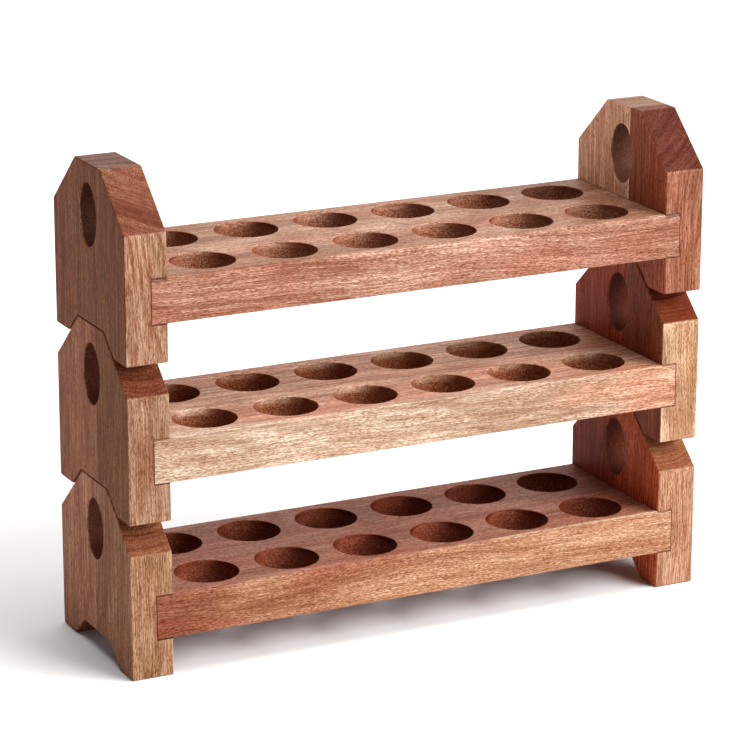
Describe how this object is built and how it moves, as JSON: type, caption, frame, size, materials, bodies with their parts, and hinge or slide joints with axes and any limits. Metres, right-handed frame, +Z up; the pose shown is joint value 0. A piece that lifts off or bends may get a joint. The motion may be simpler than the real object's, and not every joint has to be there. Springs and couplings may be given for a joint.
{
  "type": "egg holder tray",
  "caption": "Stack of identical wooden egg trays, each a board with rows of round egg holes between notched upright end blocks with oval finger holes.",
  "frame": {"origin": "on the floor, under the middle of the stack", "axes": "+X along the trays to the right as seen from the front, -Y to the front, +Z up"},
  "size_m": [0.356, 0.101, 0.279],
  "materials": {
    "wood_board_bottom": "satin clear coat over orange-brown hardwood, grain along the board",
    "wood_board_middle": "satin clear coat over pale streaked hardwood, grain along the board",
    "wood_board_top": "satin clear coat over reddish-pink hardwood, grain along the board",
    "wood_stave_golden": "satin clear coat over golden-brown hardwood, grain upright, end grain on top",
    "wood_stave_salmon": "satin clear coat over reddish hardwood, grain upright, end grain on top",
    "wood_stave_brown": "satin clear coat over brown hardwood, grain upright, end grain on top",
    "wood_stave_red": "satin clear coat over dark red-brown hardwood, grain upright, end grain on top"
  },
  "bodies": {
    "bottom_tray": {"bottom_board": "wood_board_bottom", "bottom_left_front_stave": "wood_stave_golden", "bottom_left_back_stave": "wood_stave_brown", "bottom_right_front_stave": "wood_stave_salmon", "bottom_right_back_stave": "wood_stave_red"},
    "middle_tray": {"middle_board": "wood_board_middle", "middle_left_front_stave": "wood_stave_golden", "middle_left_back_stave": "wood_stave_brown", "middle_right_front_stave": "wood_stave_golden", "middle_right_back_stave": "wood_stave_red"},
    "top_tray": {"top_board": "wood_board_top", "top_left_front_stave": "wood_stave_golden", "top_left_back_stave": "wood_stave_brown", "top_right_front_stave": "wood_stave_salmon", "top_right_back_stave": "wood_stave_brown"}
  },
  "joints": [
    {"name": "middle_lift", "type": "slide", "parent": "bottom_tray", "child": "middle_tray", "axis": [0, 0, 1], "range_m": [0, 0.12]},
    {"name": "top_lift", "type": "slide", "parent": "middle_tray", "child": "top_tray", "axis": [0, 0, 1], "range_m": [0, 0.12]}
  ]
}
